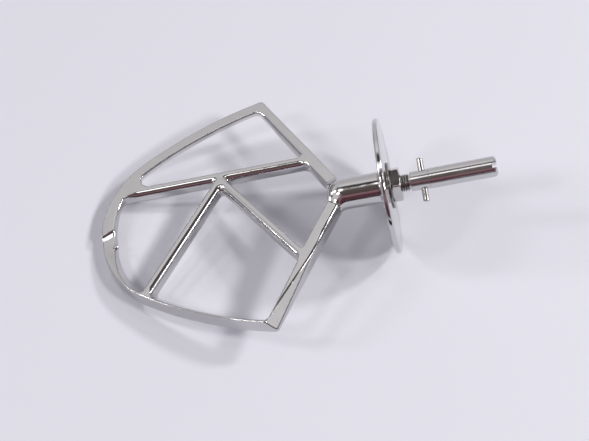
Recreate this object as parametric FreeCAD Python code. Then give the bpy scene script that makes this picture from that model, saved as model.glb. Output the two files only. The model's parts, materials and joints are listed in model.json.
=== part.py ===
import FreeCAD, Part
import math
import os

# Flat beater of a stand mixer, lying at rest on the rim of its disc and the tip of its frame.
# Every piece is drawn about the shaft axis (local +X runs from the collar to the drive end,
# local Z is the front of the frame) and the whole is then laid down at its angle of rest.
# Millimetres and degrees.

# Frame outline
frame_width = 130.0
frame_reach = 137.0          # collar face to tip
frame_thickness = 7.0
corner_station = 55.0        # collar face to the widest point
tip_radius = 47.0
tip_half_angle = 57.0
corner_round = 1.2

# Frame members
land_wide = 6.2              # rails, on the face that leads
land_narrow = 2.3            # rails, on the face that trails
shoulder_lead = 5.4          # shoulders, on the face that leads
shoulder_trail = 5.2         # shoulders, on the face that trails
tip_land = 6.8
strut_ridge = 4.4
strut_base = 5.6
spine_offset = 22.1          # spine to shaft axis
node_station = 78.0          # collar face to the point where the legs meet
node_offset = 19.3           # that point to shaft axis
tip_leg_angle = 57.5
collar_leg_angle = 53.8
web_length = 6.6             # filled corner between upper rail and spine
window_round = 1.8
window_bevel = 1.2
edge_bevel = 0.5
cut_past = 1.0               # cuts run past the faces they leave

# Collar
collar_dia = 15.9
collar_length = 23.0
nose_length = 4.5
shoulder_station = 21.6      # collar face to where the shoulders leave the collar
collar_end_round = 3.2
thread_dia = 8.6
thread_depth_in_collar = 17.0
thread_room = 4.0            # spare depth below the thread
thread_clearance = 0.06

# Slanted face on each corner, running out along the shoulder
face_run = 44.6              # along the shoulder
face_width = 4.9             # across the front at the corner
face_drop = 5.6              # below the front at the corner

# Changeover at the tip
step_drop = 1.4
step_run = 2.0               # foot of the step to its edge
step_fade = 16.0             # edge of the step to where the face is back at full height
step_offset = 1.2            # across the frame
step_angle = 23.0            # to the shaft axis
knob_dia = 3.6
knob_stand = 0.2             # above the front face
knob_overhang = 0.6          # inside the loop
knob_offset = -7.0           # across the frame

# Disc, washer and nut
disc_dia = 63.6
disc_thickness = 2.4
disc_rim_bevel = 0.5
washer_dia = 21.5
washer_thickness = 0.9
nut_sides = 6
nut_flats = 15.0
nut_height = 4.3
nut_chamfer_angle = 30.0
nut_clock = 133.0

# Drive shaft
shaft_reach = 51.8           # collar face to the drive end
shank_dia = 9.5
neck_length = 1.0
neck_dia = 7.4
thread_run = 3.2             # thread left bare between nut and neck
fit_relief = 0.2             # radius taken off the shank up to the fit land
fit_land_gap = 1.5           # cross pin to fit land
shank_chamfer = 0.9
slot_width = 2.3
slot_depth = 2.2
shaft_clock = 30.0

# Cross pin
pin_station = 17.8
pin_dia = 3.0
pin_length = 20.6
pin_bevel = 0.6
pin_body_dia = 3.4           # thicker middle, pressed into the shank
pin_body_stand = 0.3         # middle stands out of the shank
pin_clearance = 0.01

# Worked out from the sizes above
half_width = frame_width / 2
half_thickness = frame_thickness / 2
collar_radius = collar_dia / 2
shank_radius = shank_dia / 2
relieved_radius = shank_radius - fit_relief
thread_radius = thread_dia / 2
thread_bore_radius = thread_radius + thread_clearance
disc_radius = disc_dia / 2
washer_face = disc_thickness
nut_face = washer_face + washer_thickness
nut_top = nut_face + nut_height
neck_start = nut_top + thread_run
shank_start = neck_start + neck_length
fit_land_start = pin_station + pin_dia / 2 + fit_land_gap
AXIS = FreeCAD.Vector(1, 0, 0)
ORIGIN = FreeCAD.Vector(0, 0, 0)


def vec(x, y, z=0.0):
    return FreeCAD.Vector(x, y, z)


def revolved(profile):
    # Solid of revolution about the shaft axis from (station, radius) points.
    points = [vec(station, 0, radius) for station, radius in profile]
    wire = Part.makePolygon(points + points[:1])
    return Part.Face(wire).revolve(ORIGIN, AXIS, 360)


# Plane geometry of the frame: a line is (point, unit direction), a circle (centre, radius).

def line_through(point, direction):
    return point, vec(direction.x, direction.y).normalize()


def left_of(line, distance):
    point, direction = line
    return point + vec(-direction.y, direction.x) * distance, direction


def cross_point(first, second):
    (p, d), (q, e) = first, second
    across = d.x * e.y - d.y * e.x
    gap = q - p
    return p + d * ((gap.x * e.y - gap.y * e.x) / across)


def circle_point(line, centre, radius, forward):
    # Where a line crosses a circle, the later crossing along the line if forward.
    point, direction = line
    middle = (centre - point).dot(direction)
    foot = point + direction * middle
    half_chord = math.sqrt(radius ** 2 - (centre - foot).Length ** 2)
    return foot + direction * (half_chord if forward else -half_chord)


def arc_on(centre, start, end):
    # Short arc about a centre from start to end.
    middle = (start - centre).normalize() + (end - centre).normalize()
    return Part.Arc(start, centre + middle.normalize() * (start - centre).Length, end).toShape()


def segment(start, end):
    return Part.LineSegment(start, end).toShape()


def rounded(wire, radius):
    # The same outline with its corners rounded: shrunk with sharp corners, grown with arcs.
    return wire.makeOffset2D(-radius, 2).makeOffset2D(radius, 0)


# Lines and circles that the outline and the windows share.
corner = vec(-corner_station, half_width)
shoulder_root = vec(-shoulder_station, collar_radius)
tip_centre = vec(tip_radius - frame_reach, 0)
tip_tangent = vec(-math.cos(math.radians(tip_half_angle)), math.sin(math.radians(tip_half_angle)))
rail_start = tip_centre + tip_tangent * tip_radius
to_corner = corner - rail_start
rail_radius = -to_corner.dot(to_corner) / (2 * to_corner.dot(tip_tangent))
rail_centre = rail_start - tip_tangent * rail_radius
shoulder = line_through(corner, shoulder_root - corner)
spine = line_through(vec(-node_station, spine_offset), AXIS)
node = vec(-node_station, node_offset)
tip_leg = line_through(node, vec(-math.cos(math.radians(tip_leg_angle)),
                                 -math.sin(math.radians(tip_leg_angle))))
collar_leg = line_through(node, vec(math.cos(math.radians(collar_leg_angle)),
                                    -math.sin(math.radians(collar_leg_angle))))


def mirrored(point):
    return vec(point.x, -point.y, point.z)


def lower(line):
    # The same line on the other side of the shaft axis.
    point, direction = line
    return mirrored(point), mirrored(direction)


def outline():
    # Outer edge of the loop: tip arc, two rails, two shoulders that end half a radius inside the collar.
    tip = vec(-frame_reach, 0)
    root = shoulder_root + shoulder[1] * (collar_radius / 2)
    edges = [
        Part.Arc(rail_start, tip, mirrored(rail_start)).toShape(),
        arc_on(mirrored(rail_centre), mirrored(rail_start), mirrored(corner)),
        segment(mirrored(corner), mirrored(root)),
        segment(mirrored(root), root),
        segment(root, corner),
        arc_on(rail_centre, corner, rail_start),
    ]
    return rounded(Part.Wire(Part.__sortEdges__(edges)), corner_round)


def between(back, front, level):
    # A width that changes evenly from the back face (level -1) to the front face (level 1).
    return (back + front) / 2 + (front - back) / 2 * level


def half_strut(level):
    return between(strut_base, strut_ridge, level) / 2


def upper_window(level):
    # Its corner beside the tip is filled by a web.
    land = between(land_narrow, land_wide, level)
    inner_radius = tip_radius - land
    spine_edge = left_of(spine, half_strut(level))
    shoulder_edge = left_of(shoulder, -between(shoulder_trail, shoulder_lead, level))
    foot = circle_point(spine_edge, tip_centre, inner_radius, False)
    web_turn = FreeCAD.Rotation(vec(0, 0, 1), -math.degrees(web_length / inner_radius))
    web_top = tip_centre + web_turn.multVec(foot - tip_centre)
    web_end = foot + AXIS * web_length
    joint = tip_centre + tip_tangent * inner_radius
    peak = circle_point(shoulder_edge, rail_centre, rail_radius - land, False)
    heel = cross_point(shoulder_edge, spine_edge)
    edges = [arc_on(tip_centre, web_top, joint), arc_on(rail_centre, joint, peak),
             segment(peak, heel), segment(heel, web_end), segment(web_end, web_top)]
    return Part.Wire(edges)


def tip_window(level):
    upper_land = between(land_narrow, land_wide, level)
    lower_land = between(land_wide, land_narrow, level)
    spine_edge = left_of(spine, -half_strut(level))
    leg_edge = left_of(tip_leg, -half_strut(level))
    foot = circle_point(spine_edge, tip_centre, tip_radius - upper_land, False)
    tip = vec(tip_land - frame_reach, 0)
    heel = circle_point(leg_edge, tip_centre, tip_radius - lower_land, True)
    crotch = cross_point(spine_edge, leg_edge)
    edges = [Part.Arc(foot, tip, heel).toShape(), segment(heel, crotch), segment(crotch, foot)]
    return Part.Wire(edges)


def collar_window(level):
    spine_edge = left_of(spine, -half_strut(level))
    leg_edge = left_of(collar_leg, half_strut(level))
    upper_edge = left_of(shoulder, -between(shoulder_trail, shoulder_lead, level))
    lower_edge = left_of(lower(shoulder), between(shoulder_lead, shoulder_trail, level))
    corners = [cross_point(spine_edge, leg_edge), cross_point(leg_edge, lower_edge),
               cross_point(lower_edge, upper_edge), cross_point(upper_edge, spine_edge)]
    return Part.makePolygon(corners + corners[:1])


def lower_window(level):
    land = between(land_wide, land_narrow, level)
    tip_leg_edge = left_of(tip_leg, half_strut(level))
    collar_leg_edge = left_of(collar_leg, -half_strut(level))
    shoulder_edge = left_of(lower(shoulder), between(shoulder_lead, shoulder_trail, level))
    centre = mirrored(rail_centre)
    foot = circle_point(tip_leg_edge, centre, rail_radius - land, True)
    peak = circle_point(shoulder_edge, centre, rail_radius - land, False)
    heel = cross_point(shoulder_edge, collar_leg_edge)
    crotch = cross_point(collar_leg_edge, tip_leg_edge)
    edges = [arc_on(centre, foot, peak), segment(peak, heel), segment(heel, crotch),
             segment(crotch, foot)]
    return Part.Wire(edges)


def window_cut(window):
    # A window's drafted hole with a bevelled mouth on each face, run past both faces.
    mouth = half_thickness + cut_past
    throat = half_thickness - window_bevel
    wires = []
    for height, flare in ((mouth, mouth - throat), (throat, 0), (-throat, 0), (-mouth, mouth - throat)):
        sharp = window(height / half_thickness).makeOffset2D(-window_round, 2)
        wire = sharp.makeOffset2D(window_round + flare, 0)
        wire.translate(vec(0, 0, height))
        wires.append(wire)
    return Part.makeLoft(wires, True, True)


def on_a_face(edge):
    middle = edge.valueAt((edge.FirstParameter + edge.LastParameter) / 2)
    return abs(abs(middle.z) - half_thickness) < edge_bevel / 2


def k_frame():
    plate = Part.Face(outline()).extrude(vec(0, 0, frame_thickness))
    plate.translate(vec(0, 0, -half_thickness))
    plate = plate.makeChamfer(edge_bevel, [edge for edge in plate.Edges if on_a_face(edge)])
    windows = (upper_window, tip_window, collar_window, lower_window)
    return plate.cut([window_cut(window) for window in windows])


def collar():
    # Round boss that takes the thread: domed where it stands in the frame, rounded at the disc.
    nose = -collar_length - nose_length
    dome_radius = (collar_radius ** 2 + nose_length ** 2) / (2 * nose_length)
    dome_centre = vec(nose + dome_radius, 0)
    crown = vec(nose, 0)
    brim = vec(-collar_length, 0, collar_radius)
    bend = vec(-collar_end_round, 0, collar_radius)
    face_edge = vec(0, 0, collar_radius - collar_end_round)
    end_centre = vec(-collar_end_round, 0, collar_radius - collar_end_round)
    edges = [arc_on(dome_centre, crown, brim), segment(brim, bend),
             arc_on(end_centre, bend, face_edge), segment(face_edge, ORIGIN), segment(ORIGIN, crown)]
    return Part.Face(Part.Wire(edges)).revolve(ORIGIN, AXIS, 360)


def slanted_face():
    # What the slanted face takes off the front of the lower corner.
    along = mirrored(shoulder[1])
    inward = vec(-along.y, along.x)
    top = mirrored(corner) + vec(0, 0, half_thickness)
    inner = top + inward * face_width
    ridge = top + along * face_run - inner
    fall = top - vec(0, 0, face_drop) - inner
    points = [inner - ridge / 2 - fall, inner + ridge - fall,
              inner + ridge + fall * 2, inner - ridge / 2 + fall * 2]
    away = fall.cross(ridge).normalize()
    return Part.Face(Part.makePolygon(points + points[:1])).extrude(away * frame_thickness)


def step():
    # What the slanting step takes off the front of the tip.
    run = vec(math.cos(math.radians(step_angle)), math.sin(math.radians(step_angle)))
    down = vec(run.y, -run.x)
    edge = vec(tip_land / 2 - frame_reach, step_offset, half_thickness) - run * tip_land
    rise = vec(0, 0, 1)
    points = [edge, edge + down * step_run - rise * step_drop, edge + down * step_fade,
              edge + down * step_fade + rise * cut_past, edge + rise * cut_past]
    return Part.Face(Part.makePolygon(points + points[:1])).extrude(run * tip_land * 2)


def turned_over(shape):
    # The same cut on the back, where the other half of the frame leads.
    other = shape.copy()
    other.rotate(ORIGIN, AXIS, 180)
    return other


def knob():
    # Swelling on the inside of the tip below the step.
    radius = knob_dia / 2
    centre_x = tip_land + knob_overhang - radius - frame_reach
    return Part.makeSphere(radius, vec(centre_x, knob_offset, half_thickness + knob_stand - radius))


def beater_frame():
    depth = thread_depth_in_collar + thread_room
    bore = Part.makeCylinder(thread_bore_radius, depth, vec(-depth, 0), AXIS)
    cuts = [slanted_face(), step()]
    frame = k_frame().cut(cuts + [turned_over(shape) for shape in cuts])
    return frame.fuse([collar(), knob()]).removeSplitter().cut(bore)


def splash_disc():
    edge = disc_radius - disc_rim_bevel
    return revolved([
        (0, thread_bore_radius), (0, edge), (disc_rim_bevel, disc_radius),
        (disc_thickness - disc_rim_bevel, disc_radius), (disc_thickness, edge),
        (disc_thickness, thread_bore_radius),
    ])


def lock_washer():
    return revolved([
        (washer_face, thread_bore_radius), (washer_face, washer_dia / 2),
        (nut_face, washer_dia / 2), (nut_face, thread_bore_radius),
    ])


def lock_nut():
    # Hexagon with both ends turned down to a cone.
    corner_radius = nut_flats / 2 / math.cos(math.pi / nut_sides)
    turns = [math.radians(nut_clock) + 2 * math.pi * side / nut_sides for side in range(nut_sides)]
    hexagon = [vec(nut_face, math.cos(turn) * corner_radius, math.sin(turn) * corner_radius)
               for turn in turns]
    body = Part.Face(Part.makePolygon(hexagon + hexagon[:1])).extrude(AXIS * nut_height)
    drop = (corner_radius - nut_flats / 2) * math.tan(math.radians(nut_chamfer_angle))
    turned = revolved([
        (nut_face, thread_bore_radius), (nut_face, nut_flats / 2), (nut_face + drop, corner_radius),
        (nut_top - drop, corner_radius), (nut_top, nut_flats / 2), (nut_top, thread_bore_radius),
    ])
    return body.common(turned)


def clocked(shape):
    # Turned about the shaft axis to where the lock nut holds the shaft.
    shape.rotate(ORIGIN, AXIS, shaft_clock)
    return shape


def drive_shaft():
    neck_radius = neck_dia / 2
    chamfer_start = shaft_reach - shank_chamfer
    body = revolved([
        (-thread_depth_in_collar, 0), (-thread_depth_in_collar, thread_radius),
        (neck_start, thread_radius), (neck_start, neck_radius), (shank_start, neck_radius),
        (shank_start, relieved_radius), (fit_land_start, relieved_radius), (fit_land_start, shank_radius),
        (chamfer_start, shank_radius), (shaft_reach, shank_radius - shank_chamfer), (shaft_reach, 0),
    ])
    slot_corner = vec(shaft_reach - slot_depth, -slot_width / 2, -shank_radius)
    slot = Part.makeBox(slot_depth, slot_width, shank_dia, slot_corner)
    hole_radius = pin_body_dia / 2 + pin_clearance
    hole = Part.makeCylinder(hole_radius, shank_dia, vec(pin_station, -shank_radius), vec(0, 1))
    return clocked(body.cut([slot, hole]))


def drive_pin():
    # Rod across the shaft with bevelled ends and a thicker middle.
    rod = Part.makeCylinder(pin_dia / 2, pin_length, vec(pin_station, -pin_length / 2), vec(0, 1))
    rod = rod.makeChamfer(pin_bevel, [edge for edge in rod.Edges if edge.Closed])
    half_body = relieved_radius + pin_body_stand
    body = Part.makeCylinder(pin_body_dia / 2, half_body * 2, vec(pin_station, -half_body), vec(0, 1))
    return clocked(rod.fuse(body))


def rest_pose():
    # Pitch and height at which the disc's rim and the frame's tip both touch the ground.
    rim = vec(disc_rim_bevel, 0, -disc_radius)
    tip = vec(edge_bevel - frame_reach, 0, -half_thickness)
    pitch = math.atan2(tip.z - rim.z, rim.x - tip.x)
    height = -rim.x * math.sin(pitch) - rim.z * math.cos(pitch)
    return FreeCAD.Placement(vec(0, 0, height), FreeCAD.Rotation(vec(0, 1), -math.degrees(pitch)))


pieces = {
    "beater_frame": beater_frame(),
    "splash_disc": splash_disc(),
    "lock_washer": lock_washer(),
    "lock_nut": lock_nut(),
    "drive_shaft": drive_shaft(),
    "drive_pin": drive_pin(),
}
pose = rest_pose()
for shape in pieces.values():
    shape.Placement = pose * shape.Placement
box = Part.makeCompound(list(pieces.values())).optimalBoundingBox(True)
middle = vec((box.XMin + box.XMax) / 2, (box.YMin + box.YMax) / 2)
os.makedirs("parts", exist_ok=True)
for name, shape in pieces.items():
    shape.translate(-middle)
    shape.exportStep("parts/" + name + ".step")
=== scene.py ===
import bpy
import json
import math
import numpy as np
from mathutils import Matrix, Vector


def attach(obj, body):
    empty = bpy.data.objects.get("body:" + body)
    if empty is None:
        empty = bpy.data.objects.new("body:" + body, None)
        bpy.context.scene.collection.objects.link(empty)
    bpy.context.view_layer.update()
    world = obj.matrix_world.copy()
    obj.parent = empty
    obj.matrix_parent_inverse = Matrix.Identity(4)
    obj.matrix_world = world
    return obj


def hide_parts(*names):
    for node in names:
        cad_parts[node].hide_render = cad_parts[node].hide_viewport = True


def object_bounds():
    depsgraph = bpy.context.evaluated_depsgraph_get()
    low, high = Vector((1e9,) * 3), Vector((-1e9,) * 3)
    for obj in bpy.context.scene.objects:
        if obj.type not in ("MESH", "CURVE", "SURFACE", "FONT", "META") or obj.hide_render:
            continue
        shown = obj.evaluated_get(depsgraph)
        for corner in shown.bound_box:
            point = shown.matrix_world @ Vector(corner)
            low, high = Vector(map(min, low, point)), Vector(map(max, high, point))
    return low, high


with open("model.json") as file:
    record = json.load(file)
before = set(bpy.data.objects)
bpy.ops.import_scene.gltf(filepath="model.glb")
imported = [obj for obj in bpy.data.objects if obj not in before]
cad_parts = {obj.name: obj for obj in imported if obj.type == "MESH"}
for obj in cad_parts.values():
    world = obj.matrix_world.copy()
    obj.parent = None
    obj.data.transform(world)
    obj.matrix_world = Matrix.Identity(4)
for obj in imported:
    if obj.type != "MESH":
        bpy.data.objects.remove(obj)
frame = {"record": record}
cad_low, cad_high = [list(corner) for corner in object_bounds()]

MM = 0.001
shank = next(mount for mount in frame["record"]["mounts"] if mount["name"] == "drive_shank")
AXIS = Vector(shank["axis"]).normalized()
NORMAL = Vector((-AXIS.z, 0.0, AXIS.x))
ACROSS = Vector((0.0, 1.0, 0.0))

# Stations along the shaft axis in mm, counted from the collar's face
THREAD_START, THREAD_END, SHANK_START = -17.0, 11.5, 12.1
FIT_START, CHAMFER_START, SHAFT_END = 20.8, 50.9, 51.8
FIT_MIDDLE = (FIT_START + CHAMFER_START) / 2
DISC_END, WASHER_END, NUT_END, PIN_STATION = 2.4, 3.3, 7.6, 17.8
ORIGIN = Vector(shank["pos_m"]) - AXIS * (FIT_MIDDLE * MM)

# Turned pieces: sizes in mm, angles in degrees
DISC_RADIUS, RIM_BEND = 31.8, 0.9
WASHER_RADIUS, WASHER_BEND = 10.75, 0.25
NUT_FLATS, NUT_CLOCK, NUT_CORNER_WEAR, NUT_CHAMFER, NUT_ROWS = 15.0, 133.0, 0.12, 30.0, 7
BORE, BORE_FLARE, BORE_FLARE_RUN = 4.36, 0.5, 0.4
CREST, ROOT, PITCH, THREAD_ROWS = 4.3, 3.5, 1.1, 220
FLANK_STEEP, FLANK_DROP, THREAD_FADE = 2.2, 0.6, 0.6
STUB_CHAMFER, NECK_GAP = 0.6, 0.1
SHANK_RADIUS, RELIEVED_RADIUS, SHANK_CHAMFER, SHANK_EDGE = 4.75, 4.55, 0.9, 0.25
FIT_RISE, CHAMFER_BREAK, END_RUN, END_BREAK = 0.2, 0.02, 0.12, 0.1
FIT_HOLD, CHAMFER_HOLD = 0.4, 0.3
SLOT_WIDTH, SLOT_DEPTH, CLOCK = 2.3, 2.2, 30.0
CUT_REACH, CUT_OVER, PIN_HOLE_GAP = 6.0, 1.0, 0.01
PIN_RADIUS, PIN_HALF, PIN_DOME, PIN_DOME_HOLD, PIN_DOME_END = 1.5, 10.3, 0.7, 0.1, 8.0
PIN_BODY_RADIUS, PIN_BODY_HALF, PIN_BODY_EDGE = 1.7, 4.85, 0.15


def place(x, y, z):
    """A point given in mm along, across and normal to the shaft, in the row frame."""
    return ORIGIN + (AXIS * x + ACROSS * y + NORMAL * z) * MM


def add(name, data):
    """New object in the scene."""
    obj = bpy.data.objects.new(name, data)
    bpy.context.scene.collection.objects.link(obj)
    return obj


# Shader nodes

def link(tree, a, b):
    tree.links.new(a, b)


def noise(tree, scale, detail, vector=None):
    node = tree.nodes.new("ShaderNodeTexNoise")
    node.inputs["Scale"].default_value = scale
    node.inputs["Detail"].default_value = detail
    if vector is not None:
        link(tree, vector, node.inputs["Vector"])
    return node


def bump(tree, height, strength, depth, under=None):
    node = tree.nodes.new("ShaderNodeBump")
    node.inputs["Strength"].default_value = strength
    node.inputs["Distance"].default_value = depth
    link(tree, height, node.inputs["Height"])
    if under is not None:
        link(tree, under.outputs["Normal"], node.inputs["Normal"])
    return node


def vector_math(tree, operation, first, constant=None):
    node = tree.nodes.new("ShaderNodeVectorMath")
    node.operation = operation
    link(tree, first, node.inputs[0])
    if constant is not None:
        node.inputs[1].default_value = constant
    return node


def value_math(tree, operation, *values):
    """Calculation on sockets and constants."""
    node = tree.nodes.new("ShaderNodeMath")
    node.operation = operation
    for socket, value in zip(node.inputs, values):
        if isinstance(value, float):
            socket.default_value = value
        else:
            link(tree, value, socket)
    return node.outputs["Value"]


def mapped(tree, value, low, high, to_low=0.0, to_high=1.0):
    """A value's run from low to high, spread over another range and held at its ends."""
    node = tree.nodes.new("ShaderNodeMapRange")
    node.inputs["From Min"].default_value = low
    node.inputs["From Max"].default_value = high
    node.inputs["To Min"].default_value = to_low
    node.inputs["To Max"].default_value = to_high
    link(tree, value, node.inputs["Value"])
    return node.outputs["Result"]


def mix(tree, factor, first, second):
    """Blend of two colours, each a socket or a constant."""
    node = tree.nodes.new("ShaderNodeMix")
    node.data_type = "RGBA"
    link(tree, factor, node.inputs["Factor"])
    for socket, value in ((node.inputs["A"], first), (node.inputs["B"], second)):
        if isinstance(value, tuple):
            socket.default_value = (*value, 1)
        else:
            link(tree, value, socket)
    return node.outputs["Result"]


def graded(tree, value, stops):
    """Colour by a value, from stops of position and colour."""
    node = tree.nodes.new("ShaderNodeValToRGB")
    link(tree, value, node.inputs["Fac"])
    elements = node.color_ramp.elements
    while len(elements) < len(stops):
        elements.new(1.0)
    for element, (position, colour) in zip(elements, stops):
        element.position = position
        element.color = (*colour, 1)
    return node.outputs["Color"]


# Materials: noise scales per metre, relief in metres, thread radii and stations in mm for the shade painted
# low in the thread

HANDLING_SCALE, WAVE_SCALE, GRAIN_SCALE, MARK_SCALE = 110, 160, 2600, 9000
NOISE_LOW, NOISE_HIGH = 0.3, 0.7
WAVE_DEPTH, FINE_DEPTH, MARK_STRENGTH = 0.0006, 0.0001, 0.1
# Painted shade in the thread: dark colour below these radii, on the thread up to this station
THREAD_SHADE_LOW, THREAD_SHADE_HIGH, THREAD_SHADE_END = ROOT + 0.25, CREST - 0.12, THREAD_END - 0.4
THREAD_SHADE_COLOUR = (0.13, 0.115, 0.105)


def steel(name, colour, rough, spread, wave, grain, turning=0.0):
    """Polished steel with uneven roughness, slow waves, fine grain and, if turned, marks round the shaft and
    shade painted dark low in the thread.
    """
    material = bpy.data.materials.new(name)
    material.use_nodes = True
    tree = material.node_tree
    shader = tree.nodes["Principled BSDF"]
    shader.inputs["Base Color"].default_value = (*colour, 1)
    shader.inputs["Metallic"].default_value = 1.0
    spot = tree.nodes.new("ShaderNodeTexCoord").outputs["Object"]
    handling = noise(tree, HANDLING_SCALE, detail=6, vector=spot).outputs["Fac"]
    uneven = mapped(tree, handling, NOISE_LOW, NOISE_HIGH, rough - spread, rough + spread)
    link(tree, uneven, shader.inputs["Roughness"])
    waves = noise(tree, WAVE_SCALE, detail=1, vector=spot).outputs["Fac"]
    grains = noise(tree, GRAIN_SCALE, detail=3, vector=spot).outputs["Fac"]
    relief = bump(tree, grains, grain, FINE_DEPTH, under=bump(tree, waves, wave, WAVE_DEPTH))
    if turning:
        along = vector_math(tree, "DOT_PRODUCT", spot, AXIS).outputs["Value"]
        relief = turning_marks(tree, along, relief)
        lay = tree.nodes.new("ShaderNodeCombineXYZ")
        for socket, value in zip(lay.inputs, AXIS):
            socket.default_value = value
        link(tree, lay.outputs["Vector"], shader.inputs["Tangent"])
        shader.inputs["Anisotropic"].default_value = turning
        # Painted shade: the base colour goes dark low in the thread
        link(tree, painted_thread_shade(tree, spot, along, colour), shader.inputs["Base Color"])
    link(tree, relief.outputs["Normal"], shader.inputs["Normal"])
    return material


def turning_marks(tree, along, relief):
    """Fine rings round the shaft, laid over a relief."""
    marks = noise(tree, MARK_SCALE, detail=2)
    marks.noise_dimensions = "1D"
    link(tree, along, marks.inputs["W"])
    return bump(tree, marks.outputs["Fac"], MARK_STRENGTH, FINE_DEPTH, under=relief)


def painted_thread_shade(tree, spot, along, colour):
    """Painted shade: colour that goes dark low in the thread."""
    from_origin = vector_math(tree, "SUBTRACT", spot, ORIGIN).outputs["Vector"]
    off_axis = vector_math(tree, "CROSS_PRODUCT", from_origin, AXIS).outputs["Vector"]
    radius = vector_math(tree, "LENGTH", off_axis).outputs["Value"]
    height = mapped(tree, radius, THREAD_SHADE_LOW * MM, THREAD_SHADE_HIGH * MM)
    on_shank = value_math(tree, "GREATER_THAN", along, ORIGIN.dot(AXIS) + THREAD_SHADE_END * MM)
    return mix(tree, value_math(tree, "MAXIMUM", height, on_shank), THREAD_SHADE_COLOUR, colour)


CAST = steel("cast_steel", (0.58, 0.57, 0.575), rough=0.09, spread=0.04, wave=0.14, grain=0.06)
DISC = steel("disc_steel", (0.60, 0.59, 0.595), rough=0.08, spread=0.03, wave=0.06, grain=0.05)
WASHER = steel("washer_steel", (0.30, 0.29, 0.28), rough=0.22, spread=0.05, wave=0.05, grain=0.12)
NUT = steel("nut_steel", (0.56, 0.55, 0.54), rough=0.15, spread=0.05, wave=0.08, grain=0.12)
SHAFT = steel("shaft_steel", (0.60, 0.59, 0.595), rough=0.20, spread=0.04, wave=0.04, grain=0.05, turning=0.5)
PIN = steel("pin_steel", (0.63, 0.615, 0.62), rough=0.09, spread=0.03, wave=0.04, grain=0.06)


def dress(obj, material):
    obj.data.materials.clear()
    obj.data.materials.append(material)


# Turned pieces

def skin(name, rings, capped=True):
    """Closed mesh from rings of points, with end caps or with the last ring joined to the first."""
    count = len(rings[0])
    points = [point for ring in rings for point in ring]
    faces = []
    for row in range(len(rings) - 1 if capped else len(rings)):
        here, there = row * count, (row + 1) % len(rings) * count
        for step in range(count):
            other = (step + 1) % count
            faces.append((here + step, here + other, there + other, there + step))
    if capped:
        faces.append(tuple(reversed(range(count))))
        faces.append(tuple(range(len(points) - count, len(points))))
    mesh = bpy.data.meshes.new(name)
    mesh.from_pydata(points, [], faces)
    mesh.validate()
    return add(name, mesh)


def smooth(obj, angle=35):
    """Smooth shading but for edges sharper than an angle in degrees."""
    for face in obj.data.polygons:
        face.use_smooth = True
    obj.data.set_sharp_from_angle(angle=math.radians(angle))


def turned(name, profile, steps, capped=True, about=place):
    """Lathe work from (station, radius) pairs in mm; a radius may be a function of the turn."""
    turns = [2 * math.pi * step / steps for step in range(steps)]
    rings = []
    for station, radius in profile:
        ring = []
        for turn in turns:
            reach = radius(turn) if callable(radius) else radius
            ring.append(about(station, reach * math.cos(turn), reach * math.sin(turn)))
        rings.append(ring)
    return skin(name, rings, capped)


def bend(x, r, radius, start, end, steps=6):
    """Points of a bend about (x, r), angles in degrees from the shaft axis."""
    turns = [math.radians(start + (end - start) * step / steps) for step in range(steps + 1)]
    return [(x + radius * math.cos(turn), r + radius * math.sin(turn)) for turn in turns]


def plate(name, start, end, radius, round_off):
    """Ring with a rounded rim that clears the thread."""
    rim = bend(start + round_off, radius - round_off, round_off, 180, 90)
    rim += bend(end - round_off, radius - round_off, round_off, 90, 0)
    obj = turned(name, [(start, BORE)] + rim + [(end, BORE)], steps=220, capped=False)
    smooth(obj)
    return obj


def nut():
    """Hexagon with corners turned off at both ends."""
    flat = NUT_FLATS / 2
    corner = flat / math.cos(math.pi / 6) - NUT_CORNER_WEAR

    def hexagon(limit):
        def radius(turn):
            off = (turn - math.radians(NUT_CLOCK)) % (math.pi / 3) - math.pi / 6
            return min(flat / math.cos(off), limit, corner)
        return radius

    climb = (corner - flat) * math.tan(math.radians(NUT_CHAMFER))
    steps = [(climb * row / NUT_ROWS, flat + (corner - flat) * row / NUT_ROWS) for row in range(NUT_ROWS + 1)]
    profile = [(WASHER_END + BORE_FLARE_RUN, BORE), (WASHER_END, BORE + BORE_FLARE)]
    profile += [(WASHER_END + rise, hexagon(limit)) for rise, limit in steps]
    profile += [(NUT_END - rise, hexagon(limit)) for rise, limit in reversed(steps)]
    profile += [(NUT_END, BORE + BORE_FLARE), (NUT_END - BORE_FLARE_RUN, BORE)]
    obj = turned("nut", profile, steps=360, capped=False)
    smooth(obj, angle=20)
    return obj


def threaded(station):
    """Radius round the shaft where the helical thread passes a station."""
    def radius(turn):
        phase = (station / PITCH - turn / (2 * math.pi)) % 1.0
        wave = min(1.0, max(0.0, FLANK_STEEP * abs(2 * phase - 1) - FLANK_DROP))
        fade = min(1.0, (THREAD_END - station) / THREAD_FADE, (station - THREAD_START) / THREAD_FADE)
        return ROOT + (CREST - ROOT) * wave * max(0.0, fade)
    return radius


def block(name, low, high, clock):
    """Box in shaft coordinates, turned about the shaft."""
    turn = math.radians(clock)

    def spot(x, y, z):
        return place(x, y * math.cos(turn) - z * math.sin(turn), y * math.sin(turn) + z * math.cos(turn))

    loop = [(low[1], low[2]), (high[1], low[2]), (high[1], high[2]), (low[1], high[2])]
    return skin(name, [[spot(x, y, z) for y, z in loop] for x in (low[0], high[0])])


def cut(obj, tool):
    """Take the tool's shape out of obj and delete the tool."""
    step = obj.modifiers.new("cut", "BOOLEAN")
    step.operation = "DIFFERENCE"
    step.solver = "EXACT"
    step.object = tool
    graph = bpy.context.evaluated_depsgraph_get()
    mesh = bpy.data.meshes.new_from_object(obj.evaluated_get(graph))
    obj.modifiers.clear()
    obj.data = mesh
    bpy.data.objects.remove(tool)


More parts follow.
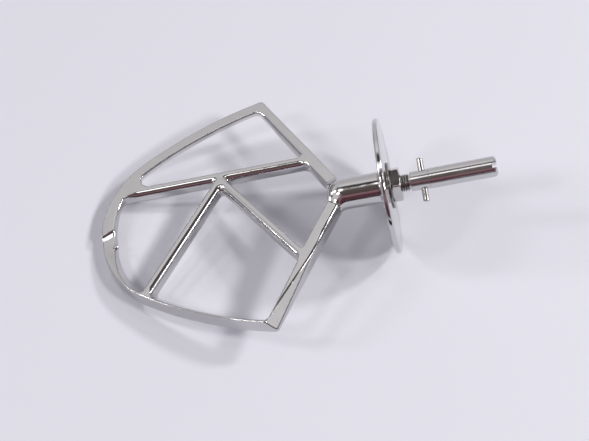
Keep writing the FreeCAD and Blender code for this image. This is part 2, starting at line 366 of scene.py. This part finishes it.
def shaft():
    """Threaded stub, neck, shank and slotted end; the hold rings keep the shading of the shank even."""
    profile = [(THREAD_START, ROOT - STUB_CHAMFER)]
    for row in range(THREAD_ROWS + 1):
        station = THREAD_START + (THREAD_END - THREAD_START) * row / THREAD_ROWS
        profile.append((station, threaded(station)))
    profile += [(THREAD_END + NECK_GAP, ROOT), (SHANK_START, ROOT)]
    profile += bend(SHANK_START + SHANK_EDGE, RELIEVED_RADIUS - SHANK_EDGE, SHANK_EDGE, 180, 90, steps=4)
    profile += [(FIT_START - FIT_RISE, RELIEVED_RADIUS), (FIT_START, SHANK_RADIUS)]
    profile += [(FIT_START + FIT_HOLD, SHANK_RADIUS), (CHAMFER_START - CHAMFER_HOLD, SHANK_RADIUS)]
    end_radius = SHANK_RADIUS - SHANK_CHAMFER
    profile += [(CHAMFER_START, SHANK_RADIUS - CHAMFER_BREAK)]
    profile += [(SHAFT_END - END_RUN, end_radius + END_BREAK), (SHAFT_END, end_radius - END_BREAK)]
    obj = turned("shaft", profile, steps=128)
    slot_low = (SHAFT_END - SLOT_DEPTH, -SLOT_WIDTH / 2, -CUT_REACH)
    slot_high = (SHAFT_END + CUT_OVER, SLOT_WIDTH / 2, CUT_REACH)
    cut(obj, block("slot", slot_low, slot_high, CLOCK))
    hole = PIN_BODY_RADIUS + PIN_HOLE_GAP
    cut(obj, turned("hole", [(-CUT_REACH, hole), (CUT_REACH, hole)], steps=96, about=across_pin))
    smooth(obj, angle=30)
    return obj


def across_pin(station, u, v):
    """A point given along and round the cross pin."""
    turn = math.radians(CLOCK)
    y = station * math.cos(turn) - v * math.sin(turn)
    z = station * math.sin(turn) + v * math.cos(turn)
    return place(PIN_STATION - u, y, z)


def pin():
    """Rod with domed ends and a thicker middle."""
    half = [
        (PIN_BODY_HALF - PIN_BODY_EDGE, PIN_BODY_RADIUS),
        (PIN_BODY_HALF, PIN_BODY_RADIUS - PIN_BODY_EDGE),
        (PIN_BODY_HALF, PIN_RADIUS),
        (PIN_HALF - PIN_DOME - PIN_DOME_HOLD, PIN_RADIUS),
    ]
    half += bend(PIN_HALF - PIN_DOME, PIN_RADIUS - PIN_DOME, PIN_DOME, 90, PIN_DOME_END, steps=7)
    profile = [(-station, radius) for station, radius in reversed(half)] + half
    obj = turned("pin", profile, steps=72, about=across_pin)
    smooth(obj)
    return obj


# Cast frame: depth below the surface as a function of place, polygonised and set on the surface.
# Sizes in mm, angles in degrees; a pair of values is where a change starts and ends.

HALF_THICK, HALF_WIDTH, REACH, CORNER_STATION = 3.5, 65.0, 137.3, 55.0
TIP_RADIUS, TIP_HALF_ANGLE, CORNER_ROUND = 47.0, 57.0, 1.2
LOOP_SHIFT, SHIFT_RUN = 0.8, (25, 55)
FLARE, FLARE_TURN, LEVEL_LIMIT = 1.0, (-40, 40), 1.1
COLLAR_RADIUS, COLLAR_LENGTH, NOSE, SHOULDER_STATION = 7.95, 23.0, 4.5, 21.6
SHOULDER_LEAD, SHOULDER_TRAIL, SHOULDER_GROWTH, GROWTH_RUN = 5.4, 4.6, 1.2, (0, 50)
RAIL_WIDE, RAIL_NARROW, TIP_LAND = 6.2, 1.9, 6.8
WIDE_TURN, NARROW_TURN = (0, 30), (2, 44)
RIDGE, BASE, SPINE_OFFSET, NODE_OFFSET, NODE_STATION = 4.4, 5.6, 22.1, 19.3, 78.0
WEB_X, WEB_Y, WEB_ANGLE = -117.2, 27.1, 27.0
TIP_LEG_ANGLE, COLLAR_LEG_ANGLE, WINDOW_ROUND = 57.5, 53.8, 2.2
RAIL_EDGE, RAIL_SOFT, STRUT_EDGE, RIM_EDGE, RIM_SOFT = 0.9, 1.5, 2.5, 0.5, 2.2
STRUT_RUN, RIM_SOFT_RUN, FACING_RUN, FACING_REACH = (1.0, 4.5), (34, 52), (-0.1, 0.5), 0.05
COLLAR_END, NOSE_ROUND, BLEND = 3.2, 4.0, 2.4
BEVEL_RUN, BEVEL_WIDTH, BEVEL_DROP = 44.6, 4.9, 5.6
STEP_X, STEP_Y, STEP_ANGLE, STEP_FADE, STEP_TIP_RUN = -131.0, 2.0, 28.0, (5, 34), (110, 122)
STEP_LIP, STEP_LIP_RUN, STEP_SLOPE, STEP_RUN = 0.5, 1.0, 0.40, 2.9
STEP_BOW, STEP_BOW_MIDDLE, STEP_BOW_HALF, STEP_BOW_LIMIT = 0.9, -3.4, 4.6, 1.2
KNOB_RADIUS, KNOB_STAND, KNOB_X, KNOB_Y, KNOB_BLEND = 1.2, -0.2, -129.4, -8.2, 1.0
THREAD_ROOM = 21.0


def unit(x, y):
    size = math.hypot(x, y)
    return x / size, y / size


def heading(angle):
    """Direction at an angle in degrees."""
    return math.cos(math.radians(angle)), math.sin(math.radians(angle))


def from_line(x, y, point, direction):
    """Distance to the left of a line."""
    return direction[0] * (y - point[1]) - direction[1] * (x - point[0])


def meet(depths, radius):
    """Least depth of several, with the edges between them rounded."""
    low = depths[0]
    for other in depths[1:]:
        u, v = np.maximum(radius - low, 0), np.maximum(radius - other, 0)
        low = np.where((u > 0) & (v > 0), radius - np.hypot(u, v), np.minimum(low, other))
    return low


def join(a, b, width):
    """Greater depth of two, with the inner corner between them filled."""
    share = np.maximum(width - np.abs(a - b), 0) / width
    return np.maximum(a, b) + share * share * width / 4


def ease(value, start, end):
    """Smooth change from 0 at the start to 1 at the end."""
    share = np.clip((value - start) / (end - start), 0, 1)
    return share * share * (3 - 2 * share)


def between(front, back, level):
    """A size that goes from its back value to its front value as the level goes from -1 to 1."""
    return (front + back) / 2 + (front - back) / 2 * level


TIP_CENTRE = TIP_RADIUS - REACH
TANGENT = (-heading(TIP_HALF_ANGLE)[0], heading(TIP_HALF_ANGLE)[1])
RAIL_START = (TIP_CENTRE + TANGENT[0] * TIP_RADIUS, TANGENT[1] * TIP_RADIUS)
CHORD = (-CORNER_STATION - RAIL_START[0], HALF_WIDTH - RAIL_START[1])
RAIL_RADIUS = -(CHORD[0] ** 2 + CHORD[1] ** 2) / (2 * (CHORD[0] * TANGENT[0] + CHORD[1] * TANGENT[1]))
RAIL_CENTRE = (RAIL_START[0] - TANGENT[0] * RAIL_RADIUS, RAIL_START[1] - TANGENT[1] * RAIL_RADIUS)
SHOULDER = unit(CORNER_STATION - SHOULDER_STATION, COLLAR_RADIUS - HALF_WIDTH)
TIP_LEG = (-heading(TIP_LEG_ANGLE)[0], -heading(TIP_LEG_ANGLE)[1])
COLLAR_LEG = (heading(COLLAR_LEG_ANGLE)[0], -heading(COLLAR_LEG_ANGLE)[1])


def tip_turn(x, v):
    """Turn round the tip in degrees, positive on the upper side."""
    return np.degrees(np.arctan2(v, TIP_CENTRE - x))


def loop_depth(x, y):
    """Distance inside the curved edge of the loop: tip arc and rails."""
    y = np.abs(y)
    tip = TIP_RADIUS - np.hypot(x - TIP_CENTRE, y)
    rail = RAIL_RADIUS - np.hypot(x - RAIL_CENTRE[0], y - RAIL_CENTRE[1])
    return np.where(from_line(x, y, (TIP_CENTRE, 0), TANGENT) < 0, rail, tip)


def loop_land(turn):
    """Width of the loop's front face by the turn round the tip."""
    upper = TIP_LAND + (RAIL_WIDE - TIP_LAND) * ease(turn, *WIDE_TURN)
    return upper + (RAIL_NARROW - TIP_LAND) * ease(-turn, *NARROW_TURN)


def shoulder_depth(x, v):
    """Distance inside the nearer shoulder's edge and along it from its corner."""
    edge = -from_line(x, np.abs(v), (-CORNER_STATION, HALF_WIDTH), SHOULDER)
    along = (x + CORNER_STATION) * SHOULDER[0] + (np.abs(v) - HALF_WIDTH) * SHOULDER[1]
    return edge, along


def step_down(x, y):
    """Drop of the front face at the tip: a slanting step that fades out along the loop."""
    run = heading(STEP_ANGLE)
    past = np.maximum(-from_line(x, y, (STEP_X, STEP_Y), run), 0)
    lip = STEP_LIP * ease(past, 0, STEP_LIP_RUN)
    middle = ((x - STEP_X) * run[0] + (y - STEP_Y) * run[1] - STEP_BOW_MIDDLE) / STEP_BOW_HALF
    bow = STEP_BOW * np.clip(middle, -STEP_BOW_LIMIT, STEP_BOW_LIMIT) ** 2
    hollow = STEP_SLOPE * np.minimum(past, STEP_RUN - bow)
    return (lip + hollow) * (1 - ease(past, *STEP_FADE)) * ease(-x, *STEP_TIP_RUN)


def corner_bevel(along, inside, below):
    """Depth below the slanted face that runs out along a shoulder from its corner."""
    tilt = math.hypot(1 / BEVEL_RUN, 1 / BEVEL_WIDTH, 1 / BEVEL_DROP)
    return (inside / BEVEL_WIDTH + along / BEVEL_RUN + below / BEVEL_DROP - 1) / tilt


def windows(x, y, v, level):
    """Distance inside each of the four windows of the frame."""
    turn = tip_turn(x, v)
    inner = loop_depth(x, v) - between(loop_land(turn), loop_land(-turn), level)
    edge, along = shoulder_depth(x, v)
    trail = SHOULDER_TRAIL + SHOULDER_GROWTH * ease(along, *GROWTH_RUN)
    upper = edge - between(SHOULDER_LEAD, trail, level)
    lower = edge - between(trail, SHOULDER_LEAD, level)
    half = between(RIDGE, BASE, level) / 2
    node = (-NODE_STATION, NODE_OFFSET)
    spine = y - SPINE_OFFSET
    tip_leg = from_line(x, y, node, TIP_LEG)
    collar_leg = from_line(x, y, node, COLLAR_LEG)
    web_run = heading(WEB_ANGLE)
    web = (x - WEB_X) * web_run[0] + (y - WEB_Y) * web_run[1]
    return (
        meet([inner, upper, spine - half, web], WINDOW_ROUND),
        meet([inner, -spine - half, -tip_leg - half], WINDOW_ROUND),
        meet([upper, lower, -spine - half, collar_leg - half], WINDOW_ROUND),
        meet([inner, lower, tip_leg - half, -collar_leg - half], WINDOW_ROUND),
    )


def plate_depth(x, y, z):
    """Depth below the surface of the flat part: loop, shoulders, spine and legs."""
    level = np.clip(z / HALF_THICK, -LEVEL_LIMIT, LEVEL_LIMIT)
    v = y + LOOP_SHIFT * ease(-x, *SHIFT_RUN)
    turn = tip_turn(x, v)
    loop = loop_depth(x, v)
    rim = loop - FLARE / 2 * (1 - (2 * ease(turn, *FLARE_TURN) - 1) * level)
    edge, along = shoulder_depth(x, v)
    face = np.minimum(HALF_THICK - step_down(x, y) - z, HALF_THICK - step_down(x, -y) + z)
    bevel = corner_bevel(along, edge, HALF_THICK + np.where(y > 0, z, -z))
    wall = meet([meet([rim, edge], CORNER_ROUND), bevel], RIM_EDGE)
    trailing = np.where(y * z < 0, ease(along, *RIM_SOFT_RUN), 0)
    depth = meet([wall, face], RIM_EDGE + (RIM_SOFT - RIM_EDGE) * trailing)
    full = RAIL_SOFT + (STRUT_EDGE - RAIL_SOFT) * ease(loop - loop_land(turn), *STRUT_RUN)
    moved = windows(x, y + FACING_REACH, v + FACING_REACH, level)
    for window, beside in zip(windows(x, y, v, level), moved):
        facing = (window - beside) / FACING_REACH
        soft = np.where(z > 0, ease(facing, *FACING_RUN), 1.0)
        round_off = RAIL_EDGE + (full - RAIL_EDGE) * soft
        depth = np.minimum(depth, meet([-window, face], round_off))
    return depth


def frame_depth(x, y, z):
    """Depth in mm below the surface of the casting, negative outside."""
    depth = plate_depth(x, y, z)
    knob_z = HALF_THICK + KNOB_STAND - KNOB_RADIUS
    knob = KNOB_RADIUS - np.sqrt((x - KNOB_X) ** 2 + (y - KNOB_Y) ** 2 + (z - knob_z) ** 2)
    depth = join(depth, knob, KNOB_BLEND)
    off_axis = np.hypot(y, z)
    dome = (COLLAR_RADIUS ** 2 + NOSE ** 2) / (2 * NOSE)
    nose = dome - np.hypot(np.minimum(x + COLLAR_LENGTH + NOSE - dome, 0), off_axis)
    collar = meet([meet([COLLAR_RADIUS - off_axis, nose], NOSE_ROUND), -x], COLLAR_END)
    depth = join(depth, collar, BLEND)
    bore = np.maximum(off_axis - BORE, -THREAD_ROOM - x)
    return np.minimum(np.minimum(depth, bore), -x)


# Mesh of a depth function: grid and reaches in mm

GRID_LOW, GRID_HIGH, CELL = (-139, -67, -8.6), (1.5, 67, 8.6), 0.5
SETTLE_ROUNDS, SETTLE_SHARE, SETTLE_REACH, LEAST_SLOPE = 4, 0.3, 0.02, 0.2
NORMAL_REACH = 0.05


def crossings(grid):
    """For each cell, the sum of the places where its edges cross the surface, in cells, and their number."""
    cells = tuple(count - 1 for count in grid.shape)
    total, weight = np.zeros(cells + (3,)), np.zeros(cells)
    for axis in range(3):
        others = [other for other in range(3) if other != axis]
        for shift in ((0, 0), (0, 1), (1, 0), (1, 1)):
            pick = [slice(None, -1)] * 3
            for other, step in zip(others, shift):
                pick[other] = slice(step, cells[other] + step)
            start, end = list(pick), list(pick)
            start[axis], end[axis] = slice(0, -1), slice(1, None)
            a, b = grid[tuple(start)], grid[tuple(end)]
            crossed = (a > 0) != (b > 0)
            total[..., axis] += np.where(crossed, a / np.where(crossed, a - b, 1), 0)
            for other, step in zip(others, shift):
                total[..., other] += crossed * step
            weight += crossed
    return total, weight


def slope(depth, at, reach):
    """Gradient of a depth at some points, from differences over a small reach."""
    rows = []
    for step in reach * np.eye(3):
        rows.append((depth(*(at + step).T) - depth(*(at - step).T)) / (2 * reach))
    return np.stack(rows, 1)


def settled(points, depth, limit):
    """Points moved on to the surface, each time by no more than a limit."""
    for _ in range(SETTLE_ROUNDS):
        tilt = slope(depth, points, SETTLE_REACH)
        step = depth(*points.T) / np.maximum((tilt ** 2).sum(1), LEAST_SLOPE)
        points = points - np.clip(step, -limit, limit)[:, None] * tilt
    return points


def quads(inside, number):
    """Faces across the grid's edges that pass through the surface, by the numbers of the cells' points."""
    faces = []
    for axis in range(3):
        one, two = (axis + 1) % 3, (axis + 2) % 3
        start, end = [slice(1, -1)] * 3, [slice(1, -1)] * 3
        start[axis], end[axis] = slice(0, -1), slice(1, None)
        a, b = inside[tuple(start)], inside[tuple(end)]
        for change, order in ((a & ~b, (0, 1, 2, 3)), (~a & b, (3, 2, 1, 0))):
            at = np.argwhere(change)
            ring = []
            for i, j in ((0, 0), (1, 0), (1, 1), (0, 1)):
                spot = at.copy()
                spot[:, one] += i
                spot[:, two] += j
                ring.append(number[tuple(spot.T)])
            faces.append(np.stack([ring[k] for k in order], 1))
    return np.concatenate(faces)


def polygonised(name, depth, low, high, cell):
    """Mesh of the surface where a depth is nil, its points and normals set by the depth itself."""
    counts = [int(round((b - a) / cell)) + 1 for a, b in zip(low, high)]
    axes = [a + cell * np.arange(count) for a, count in zip(low, counts)]
    grid = depth(*np.meshgrid(*axes, indexing="ij"))
    total, weight = crossings(grid)
    used = weight > 0
    number = np.full(used.shape, -1)
    number[used] = np.arange(used.sum())
    spots = np.argwhere(used) + total[used] / weight[used][:, None]
    points = settled(np.array(low) + spots * cell, depth, SETTLE_SHARE * cell)
    outwards = -slope(depth, points, NORMAL_REACH)
    outwards /= np.linalg.norm(outwards, axis=1)[:, None]
    turn = np.array([AXIS, ACROSS, NORMAL])
    mesh = bpy.data.meshes.new(name)
    corners = np.array(ORIGIN) + points @ turn * MM
    mesh.from_pydata(corners.tolist(), [], quads(grid > 0, number).tolist())
    mesh.shade_smooth()
    mesh.normals_split_custom_set_from_vertices((outwards @ turn).tolist())
    return add(name, mesh)


# Camera, fitted to the photo: angles in degrees, distances in metres, lens in mm

CAMERA_AZIMUTH, CAMERA_ELEVATION, CAMERA_ROLL = 1.62, 53.95, -2.16
CAMERA_TARGET, CAMERA_DISTANCE = Vector((ORIGIN.x - 0.04253, -0.00458, 0.015)), 0.5525
CAMERA_LENS, SENSOR_WIDTH, CLIP_START = 71.76, 36, 0.01


def camera():
    (east, north), (flat, drop), (level, lean) = map(heading, (CAMERA_AZIMUTH, CAMERA_ELEVATION, CAMERA_ROLL))
    look = Vector((north * flat, east * flat, -drop))
    right = Vector((east, -north, 0))
    up = right.cross(look)
    right, up = right * level + up * lean, up * level - right * lean
    data = bpy.data.cameras.new("camera")
    data.sensor_width = SENSOR_WIDTH
    data.lens = CAMERA_LENS
    data.clip_start = CLIP_START
    obj = add("camera", data)
    pose = Matrix((right, up, -look)).transposed().to_4x4()
    pose.translation = CAMERA_TARGET - look * CAMERA_DISTANCE
    obj.matrix_world = pose
    bpy.context.scene.camera = obj


# Studio, in metres

FLOOR_HALF, FLOOR_COLOUR, FLOOR_SHINE = 3.0, (0.82, 0.815, 0.87), 0.1
CARD_Y, CARD_HEIGHT, CARD_HALF = -0.19, 0.03, 0.45
CARD_COLOUR, CARD_SHINE, MATT = (0.02, 0.012, 0.012), 0.5, 0.9


def sheet(name, corners, colour, shine):
    """Plain matt rectangle."""
    mesh = bpy.data.meshes.new(name)
    mesh.from_pydata(corners, [], [(0, 1, 2, 3)])
    material = bpy.data.materials.new(name)
    material.use_nodes = True
    shader = material.node_tree.nodes["Principled BSDF"]
    shader.inputs["Base Color"].default_value = (*colour, 1)
    shader.inputs["Roughness"].default_value = MATT
    shader.inputs["Specular IOR Level"].default_value = shine
    mesh.materials.append(material)
    return add(name, mesh)


def floor():
    half = FLOOR_HALF
    corners = [(-half, -half, 0), (half, -half, 0), (half, half, 0), (-half, half, 0)]
    obj = sheet("floor", corners, FLOOR_COLOUR, FLOOR_SHINE)
    obj.location.z = cad_low[2]


def dark_card():
    """Dark edge on the camera's side, out of the picture and only seen in the metal."""
    left, right, top = -CARD_HALF, CARD_HALF, CARD_HEIGHT
    corners = [(left, CARD_Y, 0), (right, CARD_Y, 0), (right, CARD_Y, top), (left, CARD_Y, top)]
    obj = sheet("card", corners, CARD_COLOUR, CARD_SHINE)
    obj.visible_camera = False
    obj.visible_diffuse = False
    obj.visible_shadow = False


# Lamps: a direction and a power in watts each. Five stand where the shadows in the photo put them, and the
# last, weaker one gives a leg its highlight.
LAMP_DISTANCE, LAMP_SIZE, LAMP_AIM = 2.5, 0.36, Vector((0, 0, 0.02))
LAMPS = (
    ("front_left", (-54, -31, 62.6), 6.0),
    ("left", (-70, 3, 62.6), 6.0),
    ("low_left", (-125, 3, 62.6), 6.0),
    ("front_right", (64, -34, 62.6), 19.5),
    ("back_right", (76, 18.5, 62.6), 19.5),
    ("right", (66, -10, 62.6), 3.0),
)
LEFT_BEAM = Vector((0.745, -0.03, -0.667))
DISC_LIGHT_START, DISC_LIGHT_SIZE, DISC_LIGHT_LENGTH = 0.027, 0.036, 0.052
DISC_LIGHT_POWER, DISC_LIGHT_SPREAD = 0.0040, 30


def lamp(name, where, aim, size, power):
    data = bpy.data.lights.new(name, "AREA")
    data.shape = "DISK"
    data.size = size
    data.energy = power
    obj = add(name, data)
    obj.location = where
    obj.rotation_mode = "QUATERNION"
    obj.rotation_quaternion = (aim - where).to_track_quat("-Z", "Y")
    return obj


def disc_light():
    """Stand-in for light of the left lamps that the polished disc may throw back on the floor."""
    beam = (LEFT_BEAM - 2 * LEFT_BEAM.dot(AXIS) * AXIS).normalized()
    start = ORIGIN + beam * DISC_LIGHT_START
    obj = lamp("disc_light", start, start + beam, DISC_LIGHT_SIZE, DISC_LIGHT_POWER)
    obj.data.shape = "ELLIPSE"
    obj.data.size_y = DISC_LIGHT_LENGTH
    obj.data.spread = math.radians(DISC_LIGHT_SPREAD)
    turn = Matrix((ACROSS.cross(beam), ACROSS - beam * beam.y, -beam)).transposed()
    obj.rotation_quaternion = turn.to_quaternion()
    obj.visible_camera = False
    obj.visible_glossy = False


# Surround that the metal reflects. OVERHEAD goes from the far side over the top to the camera's side, by its
# share of half a turn. SIDES goes up at both ends of the shaft, by the height of the direction.
OVERHEAD = (
    (0.00, (0.66, 0.65, 0.67)), (0.22, (0.66, 0.65, 0.66)), (0.30, (0.86, 0.85, 0.86)),
    (0.36, (0.92, 0.91, 0.92)), (0.40, (0.08, 0.07, 0.07)), (0.47, (0.08, 0.07, 0.07)),
    (0.51, (0.25, 0.23, 0.22)), (0.56, (0.25, 0.23, 0.22)), (0.60, (0.13, 0.11, 0.10)),
    (0.70, (0.13, 0.10, 0.10)), (0.76, (0.11, 0.07, 0.07)), (0.80, (0.33, 0.20, 0.22)),
    (0.84, (0.30, 0.17, 0.19)), (0.88, (0.13, 0.05, 0.07)), (0.97, (0.12, 0.05, 0.06)),
    (1.00, (0.04, 0.02, 0.02)),
)
SIDES = (
    (0.00, (0.40, 0.39, 0.41)), (0.06, (0.12, 0.11, 0.12)), (0.20, (0.12, 0.11, 0.12)),
    (0.26, (0.60, 0.59, 0.61)), (0.33, (0.60, 0.59, 0.61)), (0.37, (0.14, 0.13, 0.14)),
    (0.42, (0.14, 0.13, 0.14)), (0.47, (0.84, 0.83, 0.84)), (0.58, (0.84, 0.83, 0.84)),
    (0.62, (0.66, 0.65, 0.67)), (0.68, (0.66, 0.65, 0.67)), (0.80, (0.16, 0.15, 0.15)),
)
SIDES_FROM, SIDES_FULL = 0.42, 0.56
# Bright patches: direction and half angle in degrees, for the light lines on the spine and on the step.
PATCHES = ((Vector((-0.47, -0.04, 0.88)), 8), (Vector((-0.17, -0.035, 0.985)), 6))
PATCH_COLOUR, PATCH_EDGE = (3.0, 2.95, 2.95), 1
FILL_COLOUR, BACKDROP_COLOUR = (0.30, 0.295, 0.32), (0.70, 0.70, 0.75)


def room():
    """Surround for reflections, even fill for everything else, pale backdrop."""
    world = bpy.data.worlds.new("room")
    bpy.context.scene.world = world
    world.use_nodes = True
    tree = world.node_tree
    toward = tree.nodes.new("ShaderNodeTexCoord").outputs["Generated"]
    parts = tree.nodes.new("ShaderNodeSeparateXYZ")
    link(tree, toward, parts.inputs["Vector"])
    x, y, z = [parts.outputs[axis] for axis in "XYZ"]
    overhead = graded(tree, value_math(tree, "DIVIDE", value_math(tree, "ARCTAN2", z, y), math.pi), OVERHEAD)
    aside = mapped(tree, value_math(tree, "ABSOLUTE", x), SIDES_FROM, SIDES_FULL)
    seen = mix(tree, aside, overhead, graded(tree, z, SIDES))
    for aim, reach in PATCHES:
        nearness = vector_math(tree, "DOT_PRODUCT", toward, aim.normalized()).outputs["Value"]
        outer, inner = [math.cos(math.radians(reach + soft)) for soft in (PATCH_EDGE, -PATCH_EDGE)]
        seen = mix(tree, mapped(tree, nearness, outer, inner), seen, PATCH_COLOUR)
    path = tree.nodes.new("ShaderNodeLightPath")
    light = mix(tree, path.outputs["Is Glossy Ray"], FILL_COLOUR, seen)
    shown = mix(tree, path.outputs["Is Camera Ray"], light, BACKDROP_COLOUR)
    link(tree, shown, tree.nodes["Background"].inputs["Color"])


def fit(obj, node, body, material):
    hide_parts(node)
    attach(obj, body)
    dress(obj, material)


cast = polygonised("frame", frame_depth, GRID_LOW, GRID_HIGH, CELL)
disc = plate("disc", 0.0, DISC_END, DISC_RADIUS, RIM_BEND)
washer = plate("washer", DISC_END, WASHER_END, WASHER_RADIUS, WASHER_BEND)
fit(cast, "beater_frame", "beater", CAST)
fit(disc, "splash_disc", "beater", DISC)
fit(washer, "lock_washer", "beater", WASHER)
fit(nut(), "lock_nut", "beater", NUT)
fit(shaft(), "drive_shaft", "shaft", SHAFT)
fit(pin(), "drive_pin", "shaft", PIN)

camera()
floor()
dark_card()
room()
for name, direction, power in LAMPS:
    lamp(name, Vector(direction).normalized() * LAMP_DISTANCE, LAMP_AIM, LAMP_SIZE, power)
disc_light()

view = bpy.context.scene.view_settings
view.view_transform = "Standard"
